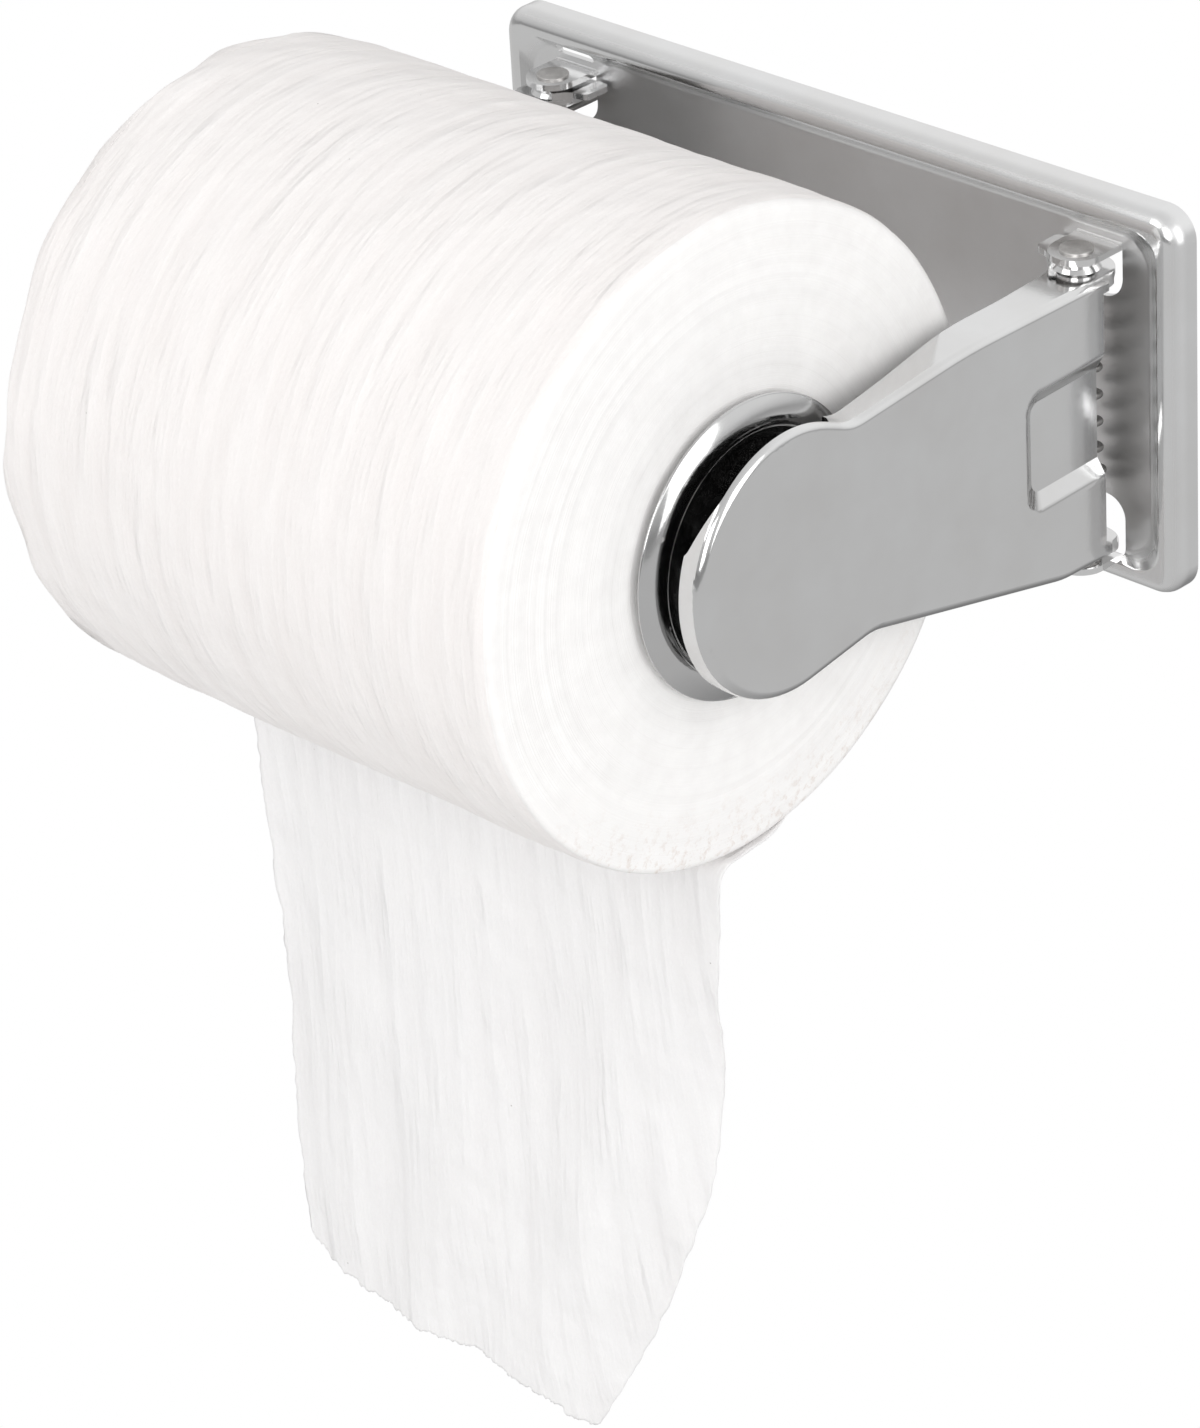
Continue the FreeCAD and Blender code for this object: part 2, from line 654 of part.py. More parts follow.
def tail_sheet():
    """The hanging sheet: it clings under the roll, turns down and hangs in soft waves to a torn edge."""
    rows = []
    reach = ROLL_R + 0.1 + TAIL_T / 2
    for ahead in TAIL_CLING:
        down = math.sqrt(reach**2 - ahead**2)
        rows.append(tail_row(HUB_Y + ahead, down - ROLL_R, math.degrees(math.atan2(down, -ahead))))
    for ahead, drop, tilt in TAIL_TURN:
        rows.append(tail_row(HUB_Y + ahead, drop, tilt))
    for drop in TAIL_HANG:
        rows.append(tail_row(HUB_Y - TAIL_FRONT + 0.6 * math.cos((drop - 11) / 28.0), drop, 180))
    sheet = Part.makeLoft(rows, True, False)
    left, top = -ROLL_HALF_EDGE, HUB_Z - ROLL_R
    front = HUB_Y - 30
    outline = [V(left + across, front, top - drop) for across, drop in TAIL_TORN]
    outline += [
        V(ROLL_HALF_EDGE + 10, front, top - TAIL_TORN[-1][1]),
        V(ROLL_HALF_EDGE + 10, front, top - TAIL_TORN_END),
        V(left - 5, front, top - TAIL_TORN_END),
    ]
    below = Part.Face(Part.makePolygon(outline + outline[:1])).extrude(V(0, 60, 0))
    return sheet.cut(below)


def solid_of(shape):
    solids = shape.Solids
    if len(solids) != 1:
        raise ValueError(f"{len(solids)} solids instead of one")
    solid = solids[0]
    if solid.Volume < 0:
        solid.reverse()
    return solid


def paired():
    """Every piece of the right side, by the name that follows the side."""
    top, bottom = pivot_tops()
    return {
        "arm": to_pin(arm_local()),
        "pivot_pin": pivot_pin(),
        "upper_washer": washer(top + WASHER_GAP),
        "lower_washer": washer(bottom - WASHER_GAP - WASHER_T),
        "arm_spring": arm_spring(),
        "hub_stud": hub_stud(),
        "hub": hub(),
        "hub_bush": hub_bush(),
        "hub_retainer": hub_retainer(),
    }


def main():
    print_spring_gap()
    nodes = {"wall_plate": wall_plate()}
    for name, shape in paired().items():
        nodes["right_" + name] = shape
        nodes["left_" + name] = mirrored(shape)
    nodes["core_tube"] = core_tube()
    nodes["paper_roll"] = paper_roll()
    nodes["tail_sheet"] = tail_sheet()
    for name, shape in nodes.items():
        solid = solid_of(shape)
        if not solid.isValid():
            print(name, "is not valid")
        solid.exportStep("parts/" + name + ".step")
        print(name, round(solid.Volume, 1))


main()
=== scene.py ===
import math

import bmesh
import bpy
from mathutils import Matrix, Vector, noise


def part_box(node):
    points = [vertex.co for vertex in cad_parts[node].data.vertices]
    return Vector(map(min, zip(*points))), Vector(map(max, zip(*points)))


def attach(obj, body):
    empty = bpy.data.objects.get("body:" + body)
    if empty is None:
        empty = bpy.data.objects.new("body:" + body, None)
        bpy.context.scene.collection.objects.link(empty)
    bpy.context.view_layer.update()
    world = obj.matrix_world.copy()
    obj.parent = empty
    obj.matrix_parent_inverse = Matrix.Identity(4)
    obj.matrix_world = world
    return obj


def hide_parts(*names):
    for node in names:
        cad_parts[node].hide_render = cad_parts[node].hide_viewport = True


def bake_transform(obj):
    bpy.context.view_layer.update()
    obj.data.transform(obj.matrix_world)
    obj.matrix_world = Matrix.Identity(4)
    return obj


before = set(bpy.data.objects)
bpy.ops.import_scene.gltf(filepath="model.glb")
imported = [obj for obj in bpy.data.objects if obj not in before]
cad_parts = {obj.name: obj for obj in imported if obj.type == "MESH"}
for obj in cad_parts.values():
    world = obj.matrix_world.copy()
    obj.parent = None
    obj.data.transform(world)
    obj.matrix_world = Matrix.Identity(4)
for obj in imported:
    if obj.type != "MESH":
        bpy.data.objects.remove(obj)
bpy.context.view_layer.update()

MM = 0.001

# camera: the photograph's viewing angle, distance and roll
AZIMUTH = math.radians(45.5)
ELEVATION = math.radians(29.13)
ROLL = math.radians(-3.46)
DISTANCE = 1030.34 * MM
TARGET = Vector((-8.29, -58.31, -61.85)) * MM
LENS = 151.25
SENSOR = 36.0

# the roll, read from the frame
roll_low, roll_high = (Vector(c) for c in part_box("paper_roll"))
core_low, core_high = (Vector(c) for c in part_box("core_tube"))
AXIS_Y = (core_low.y + core_high.y) / 2
AXIS_Z = (core_low.z + core_high.z) / 2
ROLL_R = (roll_high.z - roll_low.z) / 2
CORE_R = (core_high.z - core_low.z) / 2
HALF_CORE = (roll_high.x - roll_low.x) / 2
# the ends of the roll lean in by this much from the core to the outer wrap
DISHED = 1.6 * MM
HALF_EDGE = HALF_CORE - DISHED


def smooth(t):
    t = max(0.0, min(1.0, t))
    return t * t * (3 - 2 * t)


def lumps(x, y, z):
    """Smooth noise from about -1 to 1."""
    return noise.noise(Vector((x, y, z)))


def rough(x, y, z, scale, seed):
    """The same noise with lumps of about 1 / scale, from a place of its own."""
    return lumps(x * scale + seed, y * scale - seed, z * scale + 2 * seed)


def new_object(name, mesh):
    obj = bpy.data.objects.new(name, mesh)
    bpy.context.scene.collection.objects.link(obj)
    return obj


# materials


class Nodes:
    """A short way to write a node tree."""

    def __init__(self, name, owner=None):
        self.material = owner or bpy.data.materials.new(name)
        self.material.use_nodes = True
        self.tree = self.material.node_tree
        self.shader = self.tree.nodes.get("Principled BSDF")

    def add(self, kind, inputs=None, **settings):
        node = self.tree.nodes.new(kind)
        for key, setting in settings.items():
            setattr(node, key, setting)
        for key, given in (inputs or {}).items():
            self.feed(node, key, given)
        return node

    def feed(self, node, key, given):
        if isinstance(given, bpy.types.NodeSocket):
            self.tree.links.new(given, node.inputs[key])
        else:
            node.inputs[key].default_value = given

    def maths(self, operation, a, b):
        return self.add("ShaderNodeMath", {0: a, 1: b}, operation=operation).outputs[0]

    def scaled(self, value, factor, plus):
        given = {0: value, 1: factor, 2: plus}
        return self.add("ShaderNodeMath", given, operation="MULTIPLY_ADD").outputs[0]

    def place(self):
        return self.add("ShaderNodeTexCoord").outputs["Object"]

    def along(self, vector, axis):
        return self.add("ShaderNodeSeparateXYZ", {0: vector}).outputs[axis]

    def only_x(self, value):
        return self.add("ShaderNodeCombineXYZ", {"X": value}).outputs[0]

    def vectors(self, operation, a, b):
        return self.add("ShaderNodeVectorMath", {0: a, 1: b}, operation=operation).outputs[0]

    def length(self, vector):
        return self.add("ShaderNodeVectorMath", {0: vector}, operation="LENGTH").outputs["Value"]

    def from_to(self, value, low, high, out_low=0.0, out_high=1.0, **settings):
        given = {0: value, 1: low, 2: high, 3: out_low, 4: out_high}
        return self.add("ShaderNodeMapRange", given, **settings).outputs[0]

    def colour_mix(self, share, first, second):
        given = {0: share, 6: first, 7: (*second, 1.0)}
        return self.add("ShaderNodeMix", given, data_type="RGBA").outputs[2]

    def shader_mix(self, share, first, second):
        return self.add("ShaderNodeMixShader", {0: share, 1: first, 2: second}).outputs[0]

    def noise(self, vector, scale, detail=3.0, roughness=0.5):
        node = self.add(
            "ShaderNodeTexNoise", {"Vector": vector, "Scale": scale, "Detail": detail, "Roughness": roughness}
        )
        return node.outputs[0]

    def stretched(self, vector, x, y, z):
        return self.add("ShaderNodeMapping", {"Vector": vector, "Scale": (x, y, z)}).outputs[0]

    def ramp(self, factor, *stops):
        node = self.add("ShaderNodeValToRGB", {"Fac": factor})
        elements = node.color_ramp.elements
        while len(elements) < len(stops):
            elements.new(0.5)
        for element, (at, colour) in zip(elements, stops):
            element.position = at
            element.color = (*colour, 1.0)
        return node.outputs["Color"]

    def bump(self, height, distance, strength=1.0, onto=None):
        given = {"Height": height, "Distance": distance, "Strength": strength}
        if onto is not None:
            given["Normal"] = onto
        return self.add("ShaderNodeBump", given).outputs[0]

    def set(self, **inputs):
        for key, given in inputs.items():
            self.feed(self.shader, key.replace("_", " "), given)
        return self.material


def grey(level, warm=0.0):
    return (level * (1 + warm), level, level * (1 - warm))


# between these depths the plate's rim turns into its floor, which is a little duller
RIM_TO_FLOOR = (-5.5 * MM, -4.4 * MM)


def chrome(name, level, haze_rate, base_rate, floor_rate=None):
    """Bright plating on stamped steel: faint waviness, handling haze and fine wiping marks."""
    n = Nodes(name)
    at = n.place()
    wipe = n.noise(n.stretched(at, 60, 60, 900), 1.0, 4.0)
    haze = n.noise(at, 45.0, 5.0, 0.6)
    grain = n.noise(at, 1600.0, 2.0, 0.6)
    tone = n.ramp(haze, (0.3, grey(level - 0.03, 0.006)), (0.7, grey(level + 0.03, -0.004)))
    rate = n.maths("ADD", n.maths("MULTIPLY", haze, haze_rate), n.maths("MULTIPLY", wipe, 0.05))
    rate = n.maths("ADD", rate, base_rate)
    if floor_rate is not None:
        inside = n.from_to(n.along(at, "Y"), *RIM_TO_FLOOR, interpolation_type="SMOOTHSTEP")
        rate = n.maths("ADD", rate, n.maths("MULTIPLY", inside, floor_rate))
    surface = n.bump(n.noise(at, 70.0, 2.0), 0.00012, 0.35)
    surface = n.bump(grain, 0.000012, 0.5, surface)
    surface = n.bump(wipe, 0.00001, 0.4, surface)
    return n.set(Base_Color=tone, Metallic=1.0, Roughness=rate, Normal=surface)


def plain_steel(name, low, high, base_rate):
    """Uncoated steel of the small turned and wound pieces, spotted and with fine turning marks."""
    n = Nodes(name)
    at = n.place()
    spots = n.noise(at, 700.0, 5.0, 0.7)
    turned = n.noise(n.stretched(at, 2200, 200, 200), 1.0, 2.0)
    tone = n.ramp(spots, (0.3, grey(low, 0.03)), (0.75, grey(high, 0.02)))
    surface = n.bump(turned, 0.00003, 0.5)
    rate = n.maths("ADD", n.maths("MULTIPLY", spots, 0.25), base_rate)
    return n.set(Base_Color=tone, Metallic=1.0, Roughness=rate, Normal=surface)


def black_gloss():
    """Moulded black plastic with faint rings from its tool."""
    n = Nodes("black_gloss")
    at = n.place()
    dust = n.noise(at, 900.0, 4.0, 0.6)
    tone = n.ramp(dust, (0.45, grey(0.008)), (0.8, grey(0.03)))
    rings = n.noise(n.only_x(radius_from_axis(n, at)), 1500.0, 2.0)
    rate = n.maths("ADD", n.maths("MULTIPLY", dust, 0.12), 0.12)
    return n.set(Base_Color=tone, Roughness=rate, Normal=n.bump(rings, 0.00003, 0.5))


def radius_from_axis(n, at):
    away = n.vectors("SUBTRACT", at, (0, AXIS_Y, AXIS_Z))
    return n.length(n.vectors("MULTIPLY", away, (0, 1, 1)))


SPECK_TONE = (0.30, 0.27, 0.25)


def tissue(name, tone_low, tone_high, along):
    """Soft creped tissue: long puckers that run along the web, fine crepe, fibres and rare specks.

    along is how closely the crepe repeats down the web, against 1100 across it.
    """
    n = Nodes(name)
    at = n.place()
    fibre = n.noise(n.stretched(at, 2600, 1300, 1300), 1.0, 4.0, 0.65)
    crepe = n.noise(n.stretched(at, 1100, along, along), 1.0, 3.0, 0.6)
    pucker = n.noise(n.stretched(at, 240, along * 0.2, along * 0.2), 1.0, 2.0, 0.55)
    patch = n.noise(at, 60.0, 2.0)
    tint = n.maths("ADD", n.maths("MULTIPLY", pucker, 0.6), n.maths("MULTIPLY", fibre, 0.4))
    tone = n.ramp(tint, (0.35, tone_low), (0.65, tone_high))
    speck = n.add("ShaderNodeTexVoronoi", {"Vector": at, "Scale": 105.0, "Randomness": 1.0}).outputs[0]
    spot = n.maths("MULTIPLY", n.from_to(speck, 0.021, 0.012), 0.6)
    tone = n.colour_mix(spot, tone, SPECK_TONE)
    lift = n.from_to(patch, 0.3, 0.7, 0.35, 1.0)
    surface = n.bump(n.maths("MULTIPLY", pucker, lift), 0.0021, 0.75)
    surface = n.bump(n.maths("MULTIPLY", crepe, lift), 0.00035, 0.75, surface)
    surface = n.bump(fibre, 0.00007, 0.5, surface)
    return n.set(Base_Color=tone, Roughness=0.95, Sheen_Weight=0.1, Sheen_Roughness=0.6, Normal=surface)


# the end's smudges grow downwards between these heights and outwards between these radii
SMUDGED_HEIGHTS = (-20 * MM, -46 * MM)
SMUDGED_RADII = (40 * MM, 54 * MM)
SMUDGE_TONE = (0.62, 0.52, 0.46)
SMUDGE_SHARE = 0.8


def roll_end():
    """The cut end of the wound web: hundreds of fine edges, and brownish smudges low down."""
    n = Nodes("wound_end")
    at = n.place()
    radius = radius_from_axis(n, at)
    line = n.only_x(radius)
    fine = n.noise(line, 4200.0, 2.0)
    broad = n.noise(line, 420.0, 3.0)
    wander = n.noise(at, 260.0, 4.0, 0.6)
    mixed = n.maths("ADD", n.maths("MULTIPLY", broad, 0.25), n.maths("MULTIPLY", wander, 0.45))
    mixed = n.maths("ADD", mixed, n.maths("MULTIPLY", fine, 0.3))
    tone = n.ramp(mixed, (0.36, (0.87, 0.855, 0.845)), (0.6, (0.93, 0.92, 0.91)))
    low = n.from_to(n.along(at, "Z"), *SMUDGED_HEIGHTS)
    rim = n.from_to(radius, *SMUDGED_RADII)
    specks = n.ramp(n.noise(at, 520.0, 5.0, 0.75), (0.5, grey(0.0)), (0.72, grey(1.0)))
    smudge = n.maths("MULTIPLY", n.maths("MULTIPLY", low, rim), specks)
    stained = n.colour_mix(n.maths("MULTIPLY", smudge, SMUDGE_SHARE), tone, SMUDGE_TONE)
    surface = n.bump(broad, 0.0003, 0.3)
    surface = n.bump(fine, 0.0002, 0.3, surface)
    surface = n.bump(wander, 0.0002, 0.3, surface)
    return n.set(Base_Color=stained, Roughness=0.95, Sheen_Weight=0.1, Normal=surface)


def board():
    """Spiral-wound core board with its seam and fibres."""
    n = Nodes("core_board")
    at = n.place()
    flecks = n.noise(n.stretched(at, 900, 2400, 2400), 1.0, 5.0, 0.65)
    tone = n.ramp(flecks, (0.3, (0.33, 0.25, 0.17)), (0.7, (0.52, 0.42, 0.31)))
    return n.set(Base_Color=tone, Roughness=0.9, Normal=n.bump(flecks, 0.0001, 0.5))


CHROME = chrome("chrome", 0.69, 0.10, 0.05)
PLATE_CHROME = chrome("plate_chrome", 0.75, 0.12, 0.07, 0.2)
HUB_CHROME = chrome("hub_chrome", 0.59, 0.10, 0.05)
STEEL = plain_steel("plain_steel", 0.40, 0.58, 0.25)
DULL_STEEL = plain_steel("dull_steel", 0.24, 0.36, 0.42)
BLACK = black_gloss()
TISSUE = tissue("tissue_roll", (0.845, 0.812, 0.797), (0.89, 0.865, 0.853), 170)
# the hanging sheet is the roll's tissue in a greyer tone of its own, set lower for the thin sheet's grey
# shading: tissue tone, partly painted shade
TAIL_TISSUE = tissue("tissue_sheet", (0.845, 0.833, 0.831), (0.895, 0.887, 0.885), 120)
END = roll_end()
BOARD = board()

FINISH = {
    "wall_plate": PLATE_CHROME,
    "arm": CHROME,
    "hub": HUB_CHROME,
    "pivot_pin": STEEL,
    "upper_washer": DULL_STEEL,
    "lower_washer": DULL_STEEL,
    "arm_spring": DULL_STEEL,
    "hub_stud": STEEL,
    "hub_retainer": STEEL,
    "hub_bush": BLACK,
    "core_tube": BOARD,
}


def dress_frame():
    """Gives each visible CAD node its finish. The roll and the tail are replaced further down."""
    for name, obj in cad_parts.items():
        short = name.replace("right_", "").replace("left_", "")
        if short in FINISH:
            for place in obj.material_slots:
                place.material = FINISH[short]


# the roll


def roll_side_radius(x, angle):
    """The outer wrap's radius: soft dents and puckers, loose and folded at the left edge."""
    c, s = math.cos(angle), math.sin(angle)
    r = ROLL_R - 0.45 * MM
    r += 0.28 * MM * rough(x, c * 0.06, s * 0.06, 45.0, 1.3)
    r += 0.10 * MM * rough(x, c * 0.06, s * 0.06, 160.0, 4.1)
    r += 0.10 * MM * lumps(x * 330.0, c * 1.7, s * 1.7)
    edge = abs(x) / HALF_EDGE
    r -= 0.5 * MM * smooth((edge - 0.965) / 0.035)
    if x < 0:
        torn = smooth((edge - 0.62) / 0.38)
        r += torn * 0.35 * MM * lumps(x * 260.0 + 9.0, c * 1.3, s * 1.3 + c)
        torn = smooth((edge - 0.82) / 0.18)
        r += torn * (1.5 * MM * rough(x * 0.5, c * 0.06, s * 0.06, 62.0, 7.7) - 0.4 * MM)
    return r


def roll_end_x(side, r, angle):
    """How far out the end face stands at a radius."""
    part = (r - CORE_R) / (ROLL_R - CORE_R)
    c, s = math.cos(angle), math.sin(angle)
    x = HALF_CORE + (HALF_EDGE - HALF_CORE) * part**2
    x += 0.35 * MM * lumps(r * 900.0, side * 3.0, 0.0)
    x += 0.30 * MM * rough(r, c * 0.05, s * 0.05, 60.0, 2.2 + side)
    x -= 0.7 * MM * smooth((part - 0.93) / 0.07)
    if side < 0:
        x += smooth(part / 0.7) * 1.7 * MM * (rough(r, c * 0.06, s * 0.06, 85.0, 5.5) - 0.25)
    return side * min(x, HALF_CORE + 0.6 * MM)


AROUND = 360
ACROSS = 190
RINGS = 44
SIDE_SLOT, END_SLOT, BORE_SLOT = range(3)
EDGE_ROUND = 0.9 * MM
BORE_GAP = 0.05 * MM


def build_roll():
    """One closed skin of loops round the axis: left end, side, right end and back through the bore."""
    points = []
    inner = CORE_R + BORE_GAP
    outer = ROLL_R - EDGE_ROUND

    def add_loop(profile):
        start = len(points)
        for k in range(AROUND):
            angle = 2 * math.pi * k / AROUND
            x, r = profile(angle)
            points.append((x, AXIS_Y + r * math.cos(angle), AXIS_Z + r * math.sin(angle)))
        return start

    def end_loop(side, k):
        r = inner + (outer - inner) * k / (RINGS - 1)
        return add_loop(lambda angle: (roll_end_x(side, r, angle), r))

    def side_loop(k):
        part = k / ACROSS
        part -= 0.02 * math.sin(2 * math.pi * part)

        def profile(angle):
            left = roll_end_x(-1, ROLL_R, angle)
            right = roll_end_x(1, ROLL_R, angle)
            x = left + (right - left) * part
            return x, roll_side_radius(x, angle)

        return add_loop(profile)

    loops = [(end_loop(-1, k), END_SLOT) for k in range(RINGS)]
    loops += [(side_loop(k), SIDE_SLOT) for k in range(ACROSS + 1)]
    loops += [(end_loop(1, k), END_SLOT) for k in reversed(range(RINGS))]
    loops.append((loops[0][0], BORE_SLOT))
    faces = []
    slots = []
    for (a, _), (b, slot) in zip(loops, loops[1:]):
        for k in range(AROUND):
            j = (k + 1) % AROUND
            faces.append((a + k, a + j, b + j, b + k))
            slots.append(slot)
    mesh = bpy.data.meshes.new("wound_paper")
    mesh.from_pydata(points, [], faces)
    for material in (TISSUE, END, BOARD):
        mesh.materials.append(material)
    mesh.polygons.foreach_set("material_index", slots)
    mesh.polygons.foreach_set("use_smooth", [True] * len(faces))
    mesh.update()
    fix_normals(mesh)
    roll = new_object("wound_paper", mesh)
    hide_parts("paper_roll")
    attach(roll, "roll")


def fix_normals(mesh):
    work = bmesh.new()
    work.from_mesh(mesh)
    bmesh.ops.recalc_face_normals(work, faces=work.faces)
    work.to_mesh(mesh)
    work.free()


# the hanging sheet

SHEET_T = 0.16 * MM
# the sheet's run: it clings to the roll, lifts off it and bends down into its hang
CLING = 13.0 * MM
LEAVE = 3.2 * MM
LIFT = 0.5 * MM
TURN_R = 3.4 * MM
TURN_LENGTH = 5.5 * MM
# drop below the roll against how far the free edge has curled inwards, in mm
CURL = [(0, 0), (6, 0.3), (14, 1.6), (29, 4.9), (49, 7.9), (74, 13.7), (99, 24.0), (116, 32.6), (139, 46.0)]
# place across from the left edge against the torn edge's drop there, in mm
TORN = [
    (0, 118),
    (4, 120.5),
    (17, 123.5),
    (38, 124.8),
    (62, 125.6),
    (84, 127.5),
    (96, 130),
    (104, 132.4),
    (111, 133),
]


def between(marks, at):
    """Reads a list of marks, with straight lines from each to the next."""
    at = max(marks[0][0], min(marks[-1][0], at))
    for (a, va), (b, vb) in zip(marks, marks[1:]):
        if at <= b:
            return va + (vb - va) * ((at - a) / (b - a))
    return marks[-1][1]


def sheet_centre(length):
    """(y, z, downward share) along the sheet's middle line from where it starts to cling."""
    r = ROLL_R + 0.35 * MM
    arc = CLING + LEAVE
    if length < arc:
        angle = (length - CLING) / r
        off = LIFT * smooth((length - CLING * 0.7) / (arc - CLING * 0.7)) ** 2
        return AXIS_Y - (r + off) * math.sin(angle), AXIS_Z - (r + off) * math.cos(angle), 0.0
    start = LEAVE / r
    y0 = AXIS_Y - (r + LIFT) * math.sin(start)
    z0 = AXIS_Z - (r + LIFT) * math.cos(start)
    beyond = length - arc
    bend = math.pi / 2 + start
    if beyond < TURN_R * bend:
        turned = beyond / TURN_R
        heading = -start + turned
        y = y0 - TURN_R * (math.sin(heading) + math.sin(start))
        z = z0 - TURN_R * (math.cos(start) - math.cos(heading))
        return y, z, smooth(turned / bend)
    hang = beyond - TURN_R * bend
    y1 = y0 - TURN_R * (1 + math.sin(start))
    z1 = z0 - TURN_R * math.cos(start)
    return y1 + 1.2 * MM * smooth(hang / 0.05), z1 - hang, 1.0


def sheet_folds(x, z, part, drop):
    """How far the hanging sheet stands off its middle line: soft folds, and a right edge that curls."""
    wave = 1.1 * MM * math.sin(2 * math.pi * (part * 1.6 + 0.15))
    wave += 0.6 * MM * math.sin(2 * math.pi * (part * 3.1 + drop * 4.0))
    wave += 1.2 * MM * rough(x, 0.0, z * 0.35, 75.0, 3.3)
    return wave + 7.5 * MM * max(0.0, (part - 0.72) / 0.28) ** 2


def sheet_edges(z, part):
    """The side edges' uneven run."""
    left = smooth(1 - part / 0.05) * (0.9 * lumps(z * 95.0, 0.7, 0.0) + 0.4 * lumps(z * 420.0, 2.7, 0.0))
    right = smooth((part - 0.95) / 0.05) * 0.5 * lumps(z * 260.0, 5.7, 0.0)
    return (left + right) * MM


def sheet_point(length, part):
    """A point of the sheet, by its length from where it clings and its share across from the left."""
    y, z, hanging = sheet_centre(length)
    drop = max(0.0, (AXIS_Z - ROLL_R) - z)
    width = 2 * HALF_EDGE - between(CURL, drop / MM) * MM
    x = -HALF_EDGE + width * part
    y += smooth(drop / 0.07) * hanging * sheet_folds(x, z, part, drop)
    x += hanging * sheet_edges(z, part)
    joined = 1 - smooth(length / (9 * MM))
    if joined > 0:
        away = math.hypot(y - AXIS_Y, z - AXIS_Z)
        x *= 1 - 0.02 * joined
        surface = roll_side_radius(x, math.atan2(z - AXIS_Z, y - AXIS_Y)) + SHEET_T / 2
        surface -= 0.35 * MM * smooth(joined * 2 - 1)
        scale = 1 + joined * (surface - away) / away
        y, z = AXIS_Y + (y - AXIS_Y) * scale, AXIS_Z + (z - AXIS_Z) * scale
    y += 0.12 * MM * rough(x, 0.0, z, 420.0, 6.1) * smooth(length / 0.02)
    y += 0.22 * MM * lumps(x * 300.0, 2.0, z * 26.0) * smooth(length / 0.03)
    return Vector((x, y, z))


def torn_edge(part):
    """The drop of the torn lower edge: a slant with ragged fibres."""
    across = part * 2 * HALF_EDGE
    drop = between(TORN, across / MM) * MM
    drop += 1.1 * MM * lumps(across * 240.0, 0.3, 0.0)
    drop += 0.8 * MM * lumps(across * 900.0, 4.3, 0.0)
    return drop


COLUMNS = 180
ROWS = 190


def build_tail():
    points = []
    length_at_roll = CLING + LEAVE + TURN_LENGTH
    for i in range(COLUMNS + 1):
        part = i / COLUMNS
        total = length_at_roll + torn_edge(part) - TURN_R
        for j in range(ROWS + 1):
            share = j / ROWS
            share -= 0.05 * math.sin(2 * math.pi * share)
            points.append(sheet_point(total * share, part))
    faces = []
    for i in range(COLUMNS):
        for j in range(ROWS):
            a = i * (ROWS + 1) + j
            faces.append((a, a + ROWS + 1, a + ROWS + 2, a + 1))
    mesh = bpy.data.meshes.new("hanging_sheet")
    mesh.from_pydata([tuple(p) for p in points], [], faces)
    mesh.materials.append(TAIL_TISSUE)
    mesh.polygons.foreach_set("use_smooth", [True] * len(faces))
    mesh.update()
    sheet = new_object("hanging_sheet", mesh)
    solid = sheet.modifiers.new("thickness", "SOLIDIFY")
    solid.thickness = SHEET_T
    solid.offset = 0.0
    apply_modifiers(sheet)
    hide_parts("tail_sheet")
    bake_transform(sheet)


def apply_modifiers(obj):
    depsgraph = bpy.context.evaluated_depsgraph_get()
    result = bpy.data.meshes.new_from_object(obj.evaluated_get(depsgraph))
    obj.modifiers.clear()
    obj.data = result


# camera, floor and light


def set_camera():
    back = Vector(
        (
            math.sin(AZIMUTH) * math.cos(ELEVATION),
            -math.cos(AZIMUTH) * math.cos(ELEVATION),
            math.sin(ELEVATION),
        )
    )
    right = Vector((math.cos(AZIMUTH), math.sin(AZIMUTH), 0.0))
    up = back.cross(right)
    turned_right = right * math.cos(ROLL) + up * math.sin(ROLL)
    turned_up = up * math.cos(ROLL) - right * math.sin(ROLL)
    data = bpy.data.cameras.new("camera")
    data.lens = LENS
    data.sensor_width = SENSOR
    data.clip_end = 50.0
    camera = bpy.data.objects.new("camera", data)
    bpy.context.scene.collection.objects.link(camera)
    place = Matrix((turned_right, turned_up, back)).transposed().to_4x4()
    place.translation = TARGET + back * DISTANCE
    camera.matrix_world = place
    bpy.context.scene.camera = camera


# what the lamps are turned to
LIT = Vector((0.0, -0.06, -0.03))


def area_light(name, place, size, watts):
    data = bpy.data.lights.new(name, "AREA")
    data.shape = "RECTANGLE"
    data.size, data.size_y = size
    data.energy = watts
    lamp = bpy.data.objects.new(name, data)
    bpy.context.scene.collection.objects.link(lamp)
    lamp.location = place
    lamp.rotation_euler = (LIT - Vector(place)).to_track_quat("-Z", "Y").to_euler()


def set_light():
    area_light("key", (0.9, -1.5, 0.7), (1.0, 1.0), 10.5)
    area_light("side", (1.5, 0.1, 0.5), (0.9, 1.2), 6.5)
    area_light("left", (-0.45, -1.4, 1.2), (1.0, 0.8), 5.5)


WHITE = (1, 1, 1, 1)
FLOOR_HALF = 6.0
FLOOR_Z = -0.9
# polished metal sees a painted reflection in the floor: a glow that is darker round this place, a little left
# of the part and behind it
DARK_X = -0.05
DARK_Y = 0.85


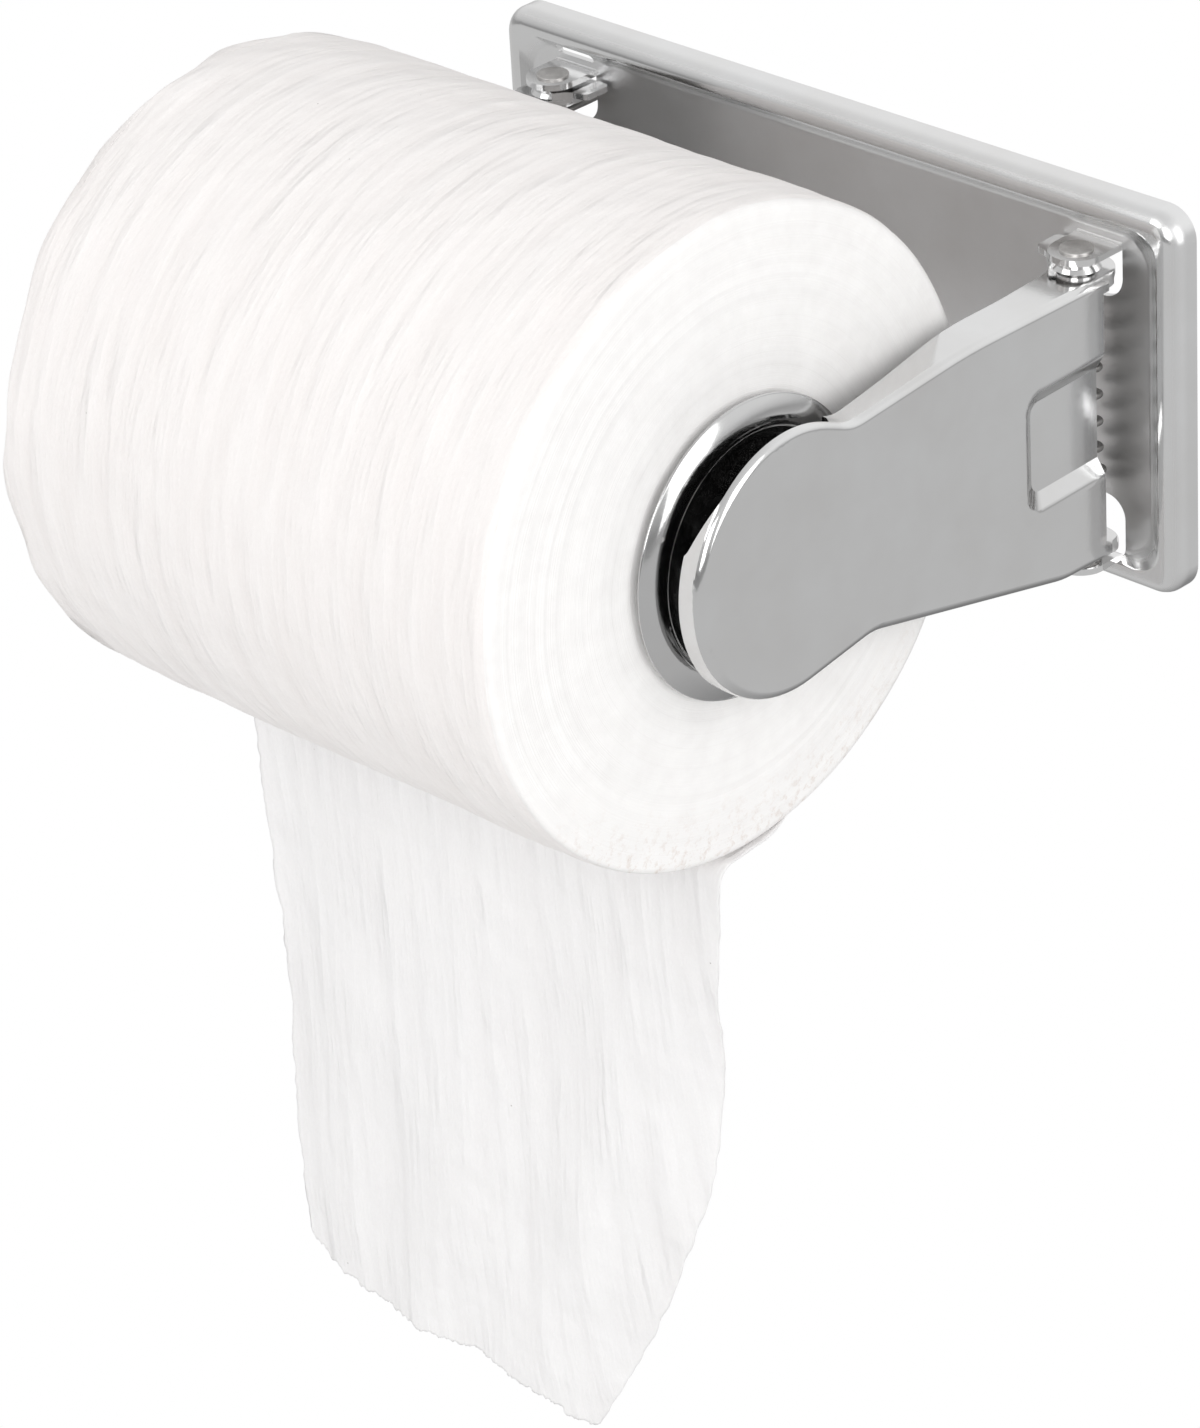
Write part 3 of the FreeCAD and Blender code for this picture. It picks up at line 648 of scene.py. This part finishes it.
def set_floor():
    """A pale floor far below, white to the camera; polished metal sees on it a painted reflection, a glow
    that is darker round one place.
    """
    signs = ((-1, -1), (1, -1), (1, 1), (-1, 1))
    corners = [(x * FLOOR_HALF, y * FLOOR_HALF, FLOOR_Z) for x, y in signs]
    mesh = bpy.data.meshes.new("floor")
    mesh.from_pydata(corners, [], [(0, 1, 2, 3)])
    n = Nodes("floor")
    at = n.place()
    tone = n.ramp(n.noise(at, 3.0), (0.3, grey(0.85)), (0.7, grey(0.88)))
    n.set(Base_Color=tone, Roughness=0.8)
    # painted reflection: to glossy rays the floor glows in this grey, darkest near the place above, instead
    # of showing its lit tone
    away = n.length(n.vectors("ADD", at, (-DARK_X, -DARK_Y, -FLOOR_Z)))
    shade = n.ramp(n.maths("MULTIPLY", away, 0.5), (0.12, grey(0.24)), (0.55, grey(0.66)))
    painted_reflection = n.add("ShaderNodeEmission", {"Color": shade, "Strength": 1.0}).outputs[0]
    white = n.add("ShaderNodeEmission", {"Color": WHITE, "Strength": 1.0}).outputs[0]
    ray = n.add("ShaderNodeLightPath").outputs
    mix = n.shader_mix(ray["Is Glossy Ray"], n.shader.outputs[0], painted_reflection)
    mix = n.shader_mix(ray["Is Camera Ray"], mix, white)
    n.tree.links.new(mix, n.tree.nodes["Material Output"].inputs[0])
    mesh.materials.append(n.material)
    floor = new_object("floor", mesh)


# brightness from straight below, 0, over the horizon, 0.5, to straight above, 1
SKY = [(0.0, 0.65), (0.42, 0.67), (0.5, 0.50), (0.6, 0.67), (0.75, 0.74), (0.9, 0.72), (1.0, 0.70)]
MIRRORED = [(0.0, 0.7), (0.46, 0.5), (0.5, 0.42), (0.56, 0.72), (0.64, 0.90), (0.8, 0.95), (1.0, 0.86)]


def set_world():
    """A grey studio as the light, another in polished metal, paler behind, and white for the camera."""
    world = bpy.data.worlds.new("studio")
    bpy.context.scene.world = world
    n = Nodes("studio", world)
    n.tree.nodes.clear()
    at = n.add("ShaderNodeTexCoord").outputs["Generated"]
    height = n.scaled(n.along(at, "Z"), 0.5, 0.5)
    sky = n.ramp(height, *[(place, grey(level)) for place, level in SKY])
    shine = n.ramp(height, *[(place, grey(level)) for place, level in MIRRORED])
    behind = n.scaled(n.along(at, "Y"), 0.28, 0.90)
    light = n.add("ShaderNodeBackground", {0: sky, 1: 1.0}).outputs[0]
    gloss = n.add("ShaderNodeBackground", {0: shine, 1: behind}).outputs[0]
    white = n.add("ShaderNodeBackground", {0: WHITE, 1: 1.0}).outputs[0]
    ray = n.add("ShaderNodeLightPath").outputs
    mix = n.shader_mix(ray["Is Glossy Ray"], light, gloss)
    mix = n.shader_mix(ray["Is Camera Ray"], mix, white)
    n.tree.links.new(mix, n.add("ShaderNodeOutputWorld").inputs[0])


dress_frame()
build_roll()
build_tail()
set_camera()
set_floor()
set_world()
set_light()

scene = bpy.context.scene
scene.view_settings.view_transform = "Standard"

bpy.context.view_layer.update()
